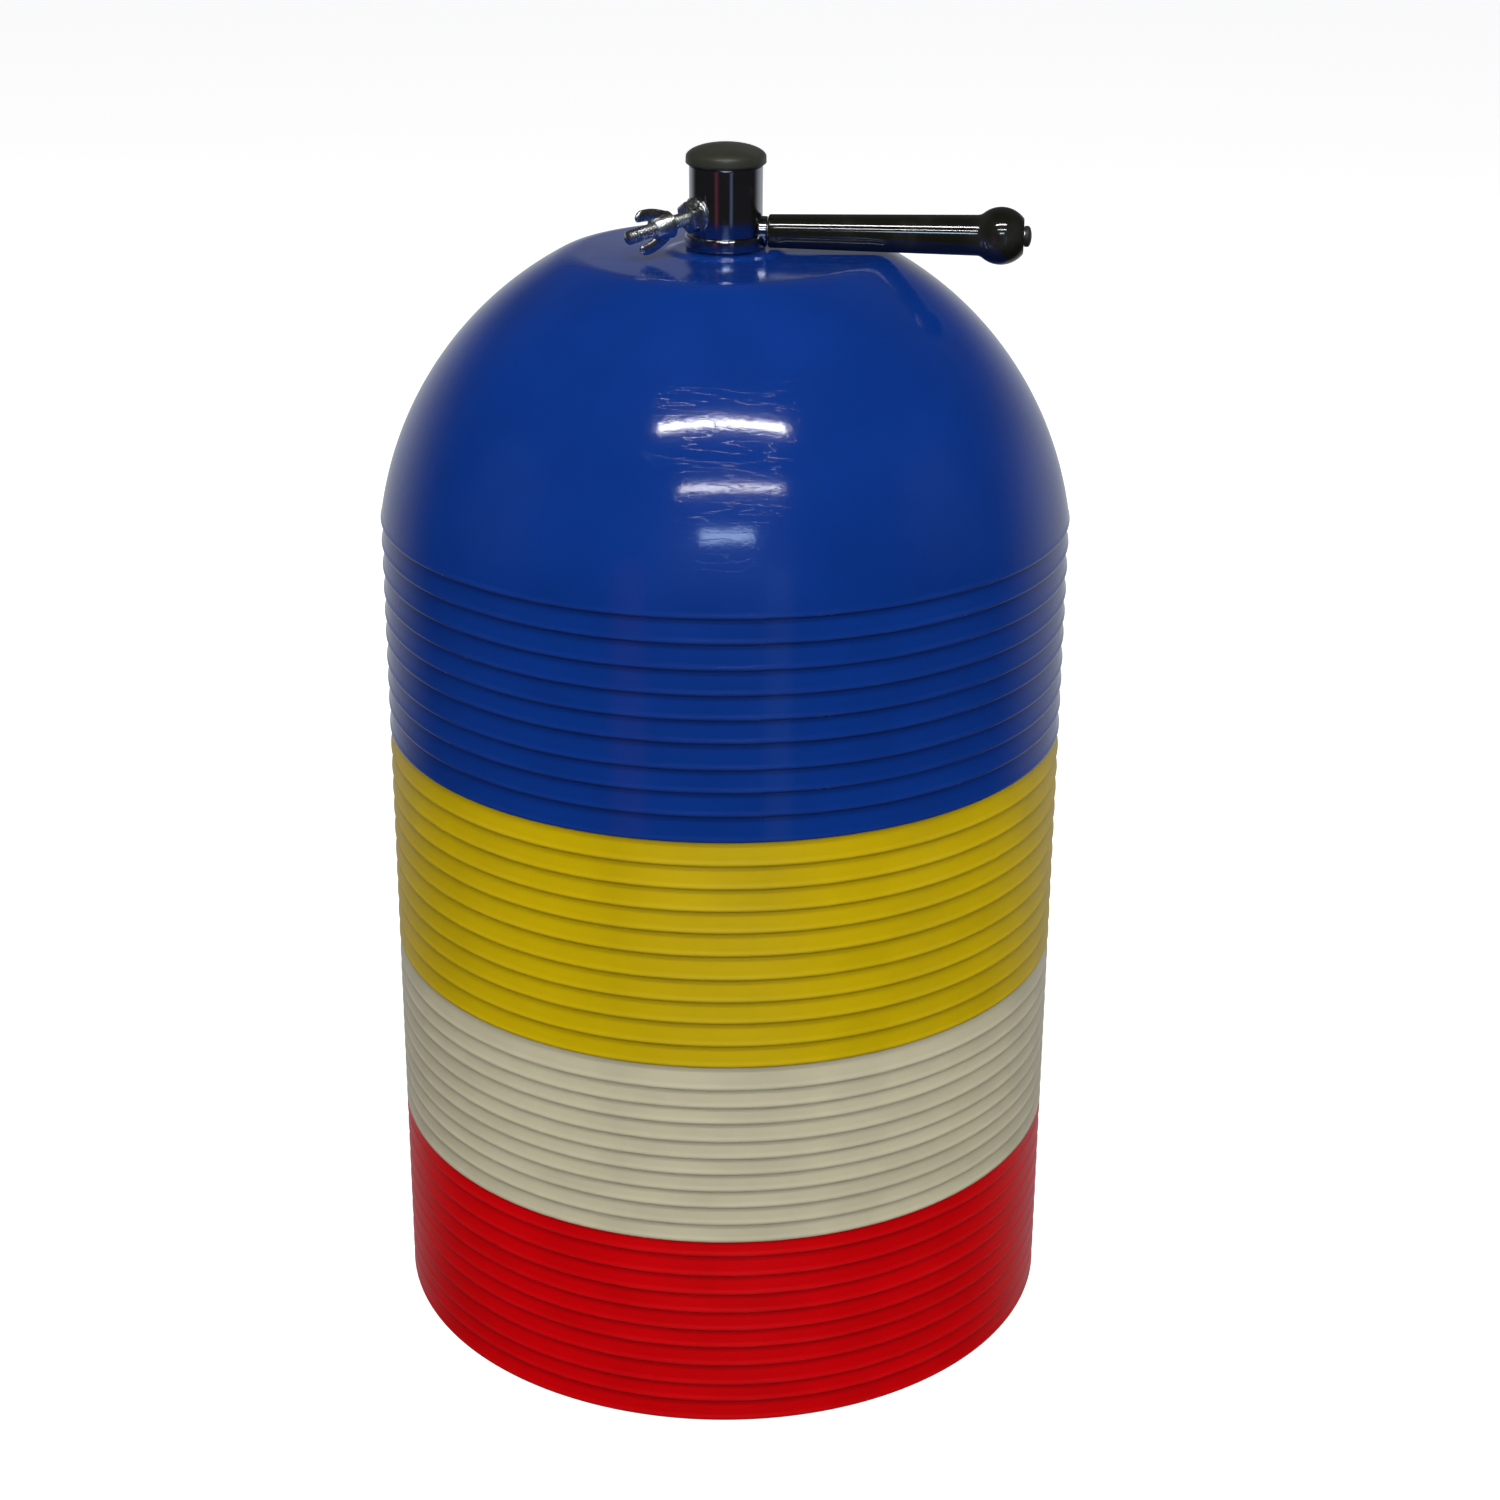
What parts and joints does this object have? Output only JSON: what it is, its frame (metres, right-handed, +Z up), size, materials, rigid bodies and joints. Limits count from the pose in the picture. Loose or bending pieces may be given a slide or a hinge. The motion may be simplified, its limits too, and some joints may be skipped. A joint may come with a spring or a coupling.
{
  "type": "stack of nesting marker domes on a carrying stand",
  "caption": "Nested blue, yellow, white and red training marker domes threaded on a pole with a weighted foot, held and carried by a chromed clamp sleeve with a side handle.",
  "frame": {"origin": "centre of the footprint on the floor, under the pole", "axes": "+Z up along the pole, +X along the handle, +Y completing the right hand"},
  "size_m": [0.3, 0.3, 0.5303],
  "materials": {
    "blue_plastic": "glossy moulded plastic",
    "yellow_plastic": "satin moulded plastic",
    "white_plastic": "satin ivory moulded plastic",
    "red_plastic": "satin moulded plastic",
    "sleeve_chrome": "dark polished chrome",
    "pole_chrome": "chromed tube",
    "zinc_steel": "bright zinc",
    "dark_paint": "dark powder coat",
    "black_rubber": "matt moulded rubber",
    "cap_plastic": "dark olive-grey moulded plastic",
    "grip_plastic": "glossy black moulded plastic",
    "black_plastic": "black moulded plastic"
  },
  "bodies": {
    "stand": {"base_plate": "dark_paint", "base_ring": "black_rubber", "pole_socket": "zinc_steel", "socket_screws": "zinc_steel", "pole": "pole_chrome", "pole_pin": "zinc_steel", "seat_disc": "zinc_steel", "seat_hub": "dark_paint", "seat_grub_screw": "zinc_steel", "pole_top_plug": "black_plastic"},
    "handle_sleeve": {"sleeve": "sleeve_chrome", "sleeve_ring": "sleeve_chrome", "sleeve_cap": "cap_plastic", "clamp_boss": "zinc_steel", "handle_neck": "sleeve_chrome", "handle_spindle": "zinc_steel", "end_nut": "black_plastic"},
    "clamp_screw": {"clamp_stud": "zinc_steel", "wing_nut": "zinc_steel"},
    "handle_grip": {"grip": "grip_plastic"},
    "dome_blue_01_shell": {"dome_blue_01": "blue_plastic"},
    "dome_blue_02_shell": {"dome_blue_02": "blue_plastic"},
    "dome_blue_03_shell": {"dome_blue_03": "blue_plastic"},
    "dome_blue_04_shell": {"dome_blue_04": "blue_plastic"},
    "dome_blue_05_shell": {"dome_blue_05": "blue_plastic"},
    "dome_blue_06_shell": {"dome_blue_06": "blue_plastic"},
    "dome_blue_07_shell": {"dome_blue_07": "blue_plastic"},
    "dome_blue_08_shell": {"dome_blue_08": "blue_plastic"},
    "dome_blue_09_shell": {"dome_blue_09": "blue_plastic"},
    "dome_blue_10_shell": {"dome_blue_10": "blue_plastic"},
    "dome_yellow_01_shell": {"dome_yellow_01": "yellow_plastic"},
    "dome_yellow_02_shell": {"dome_yellow_02": "yellow_plastic"},
    "dome_yellow_03_shell": {"dome_yellow_03": "yellow_plastic"},
    "dome_yellow_04_shell": {"dome_yellow_04": "yellow_plastic"},
    "dome_yellow_05_shell": {"dome_yellow_05": "yellow_plastic"},
    "dome_yellow_06_shell": {"dome_yellow_06": "yellow_plastic"},
    "dome_yellow_07_shell": {"dome_yellow_07": "yellow_plastic"},
    "dome_yellow_08_shell": {"dome_yellow_08": "yellow_plastic"},
    "dome_yellow_09_shell": {"dome_yellow_09": "yellow_plastic"},
    "dome_yellow_10_shell": {"dome_yellow_10": "yellow_plastic"},
    "dome_white_01_shell": {"dome_white_01": "white_plastic"},
    "dome_white_02_shell": {"dome_white_02": "white_plastic"},
    "dome_white_03_shell": {"dome_white_03": "white_plastic"},
    "dome_white_04_shell": {"dome_white_04": "white_plastic"},
    "dome_white_05_shell": {"dome_white_05": "white_plastic"},
    "dome_white_06_shell": {"dome_white_06": "white_plastic"},
    "dome_white_07_shell": {"dome_white_07": "white_plastic"},
    "dome_white_08_shell": {"dome_white_08": "white_plastic"},
    "dome_white_09_shell": {"dome_white_09": "white_plastic"},
    "dome_white_10_shell": {"dome_white_10": "white_plastic"},
    "dome_red_01_shell": {"dome_red_01": "red_plastic"},
    "dome_red_02_shell": {"dome_red_02": "red_plastic"},
    "dome_red_03_shell": {"dome_red_03": "red_plastic"},
    "dome_red_04_shell": {"dome_red_04": "red_plastic"},
    "dome_red_05_shell": {"dome_red_05": "red_plastic"},
    "dome_red_06_shell": {"dome_red_06": "red_plastic"},
    "dome_red_07_shell": {"dome_red_07": "red_plastic"},
    "dome_red_08_shell": {"dome_red_08": "red_plastic"},
    "dome_red_09_shell": {"dome_red_09": "red_plastic"},
    "dome_red_10_shell": {"dome_red_10": "red_plastic"}
  },
  "joints": [
    {"name": "dome_red_10_lift", "type": "slide", "parent": "stand", "child": "dome_red_10_shell", "axis": [0, 0, 1], "range_m": [0, 0.025]},
    {"name": "dome_red_09_lift", "type": "slide", "parent": "dome_red_10_shell", "child": "dome_red_09_shell", "axis": [0, 0, 1], "range_m": [0, 0.025]},
    {"name": "dome_red_08_lift", "type": "slide", "parent": "dome_red_09_shell", "child": "dome_red_08_shell", "axis": [0, 0, 1], "range_m": [0, 0.025]},
    {"name": "dome_red_07_lift", "type": "slide", "parent": "dome_red_08_shell", "child": "dome_red_07_shell", "axis": [0, 0, 1], "range_m": [0, 0.025]},
    {"name": "dome_red_06_lift", "type": "slide", "parent": "dome_red_07_shell", "child": "dome_red_06_shell", "axis": [0, 0, 1], "range_m": [0, 0.025]},
    {"name": "dome_red_05_lift", "type": "slide", "parent": "dome_red_06_shell", "child": "dome_red_05_shell", "axis": [0, 0, 1], "range_m": [0, 0.025]},
    {"name": "dome_red_04_lift", "type": "slide", "parent": "dome_red_05_shell", "child": "dome_red_04_shell", "axis": [0, 0, 1], "range_m": [0, 0.025]},
    {"name": "dome_red_03_lift", "type": "slide", "parent": "dome_red_04_shell", "child": "dome_red_03_shell", "axis": [0, 0, 1], "range_m": [0, 0.025]},
    {"name": "dome_red_02_lift", "type": "slide", "parent": "dome_red_03_shell", "child": "dome_red_02_shell", "axis": [0, 0, 1], "range_m": [0, 0.025]},
    {"name": "dome_red_01_lift", "type": "slide", "parent": "dome_red_02_shell", "child": "dome_red_01_shell", "axis": [0, 0, 1], "range_m": [0, 0.025]},
    {"name": "dome_white_10_lift", "type": "slide", "parent": "dome_red_01_shell", "child": "dome_white_10_shell", "axis": [0, 0, 1], "range_m": [0, 0.025]},
    {"name": "dome_white_09_lift", "type": "slide", "parent": "dome_white_10_shell", "child": "dome_white_09_shell", "axis": [0, 0, 1], "range_m": [0, 0.025]},
    {"name": "dome_white_08_lift", "type": "slide", "parent": "dome_white_09_shell", "child": "dome_white_08_shell", "axis": [0, 0, 1], "range_m": [0, 0.025]},
    {"name": "dome_white_07_lift", "type": "slide", "parent": "dome_white_08_shell", "child": "dome_white_07_shell", "axis": [0, 0, 1], "range_m": [0, 0.025]},
    {"name": "dome_white_06_lift", "type": "slide", "parent": "dome_white_07_shell", "child": "dome_white_06_shell", "axis": [0, 0, 1], "range_m": [0, 0.025]},
    {"name": "dome_white_05_lift", "type": "slide", "parent": "dome_white_06_shell", "child": "dome_white_05_shell", "axis": [0, 0, 1], "range_m": [0, 0.025]},
    {"name": "dome_white_04_lift", "type": "slide", "parent": "dome_white_05_shell", "child": "dome_white_04_shell", "axis": [0, 0, 1], "range_m": [0, 0.025]},
    {"name": "dome_white_03_lift", "type": "slide", "parent": "dome_white_04_shell", "child": "dome_white_03_shell", "axis": [0, 0, 1], "range_m": [0, 0.025]},
    {"name": "dome_white_02_lift", "type": "slide", "parent": "dome_white_03_shell", "child": "dome_white_02_shell", "axis": [0, 0, 1], "range_m": [0, 0.025]},
    {"name": "dome_white_01_lift", "type": "slide", "parent": "dome_white_02_shell", "child": "dome_white_01_shell", "axis": [0, 0, 1], "range_m": [0, 0.025]},
    {"name": "dome_yellow_10_lift", "type": "slide", "parent": "dome_white_01_shell", "child": "dome_yellow_10_shell", "axis": [0, 0, 1], "range_m": [0, 0.025]},
    {"name": "dome_yellow_09_lift", "type": "slide", "parent": "dome_yellow_10_shell", "child": "dome_yellow_09_shell", "axis": [0, 0, 1], "range_m": [0, 0.025]},
    {"name": "dome_yellow_08_lift", "type": "slide", "parent": "dome_yellow_09_shell", "child": "dome_yellow_08_shell", "axis": [0, 0, 1], "range_m": [0, 0.025]},
    {"name": "dome_yellow_07_lift", "type": "slide", "parent": "dome_yellow_08_shell", "child": "dome_yellow_07_shell", "axis": [0, 0, 1], "range_m": [0, 0.025]},
    {"name": "dome_yellow_06_lift", "type": "slide", "parent": "dome_yellow_07_shell", "child": "dome_yellow_06_shell", "axis": [0, 0, 1], "range_m": [0, 0.025]},
    {"name": "dome_yellow_05_lift", "type": "slide", "parent": "dome_yellow_06_shell", "child": "dome_yellow_05_shell", "axis": [0, 0, 1], "range_m": [0, 0.025]},
    {"name": "dome_yellow_04_lift", "type": "slide", "parent": "dome_yellow_05_shell", "child": "dome_yellow_04_shell", "axis": [0, 0, 1], "range_m": [0, 0.025]},
    {"name": "dome_yellow_03_lift", "type": "slide", "parent": "dome_yellow_04_shell", "child": "dome_yellow_03_shell", "axis": [0, 0, 1], "range_m": [0, 0.025]},
    {"name": "dome_yellow_02_lift", "type": "slide", "parent": "dome_yellow_03_shell", "child": "dome_yellow_02_shell", "axis": [0, 0, 1], "range_m": [0, 0.025]},
    {"name": "dome_yellow_01_lift", "type": "slide", "parent": "dome_yellow_02_shell", "child": "dome_yellow_01_shell", "axis": [0, 0, 1], "range_m": [0, 0.025]},
    {"name": "dome_blue_10_lift", "type": "slide", "parent": "dome_yellow_01_shell", "child": "dome_blue_10_shell", "axis": [0, 0, 1], "range_m": [0, 0.025]},
    {"name": "dome_blue_09_lift", "type": "slide", "parent": "dome_blue_10_shell", "child": "dome_blue_09_shell", "axis": [0, 0, 1], "range_m": [0, 0.025]},
    {"name": "dome_blue_08_lift", "type": "slide", "parent": "dome_blue_09_shell", "child": "dome_blue_08_shell", "axis": [0, 0, 1], "range_m": [0, 0.025]},
    {"name": "dome_blue_07_lift", "type": "slide", "parent": "dome_blue_08_shell", "child": "dome_blue_07_shell", "axis": [0, 0, 1], "range_m": [0, 0.025]},
    {"name": "dome_blue_06_lift", "type": "slide", "parent": "dome_blue_07_shell", "child": "dome_blue_06_shell", "axis": [0, 0, 1], "range_m": [0, 0.025]},
    {"name": "dome_blue_05_lift", "type": "slide", "parent": "dome_blue_06_shell", "child": "dome_blue_05_shell", "axis": [0, 0, 1], "range_m": [0, 0.025]},
    {"name": "dome_blue_04_lift", "type": "slide", "parent": "dome_blue_05_shell", "child": "dome_blue_04_shell", "axis": [0, 0, 1], "range_m": [0, 0.025]},
    {"name": "dome_blue_03_lift", "type": "slide", "parent": "dome_blue_04_shell", "child": "dome_blue_03_shell", "axis": [0, 0, 1], "range_m": [0, 0.025]},
    {"name": "dome_blue_02_lift", "type": "slide", "parent": "dome_blue_03_shell", "child": "dome_blue_02_shell", "axis": [0, 0, 1], "range_m": [0, 0.025]},
    {"name": "dome_blue_01_lift", "type": "slide", "parent": "dome_blue_02_shell", "child": "dome_blue_01_shell", "axis": [0, 0, 1], "range_m": [0, 0.025]},
    {"name": "carrier_sleeve_lift", "type": "slide", "parent": "dome_blue_01_shell", "child": "handle_sleeve", "axis": [0, 0, 1], "range_m": [0, 0.025]},
    {"name": "carrier_wing_nut_turn", "type": "hinge", "parent": "handle_sleeve", "child": "clamp_screw", "pos_m": [0, 0, 0.50449], "axis": [-0.7489, -0.6396, -0.1736], "continuous": true},
    {"name": "carrier_grip_turn", "type": "hinge", "parent": "handle_sleeve", "child": "handle_grip", "pos_m": [0.06, 0, 0.49387], "axis": [1, 0, 0], "continuous": true}
  ]
}
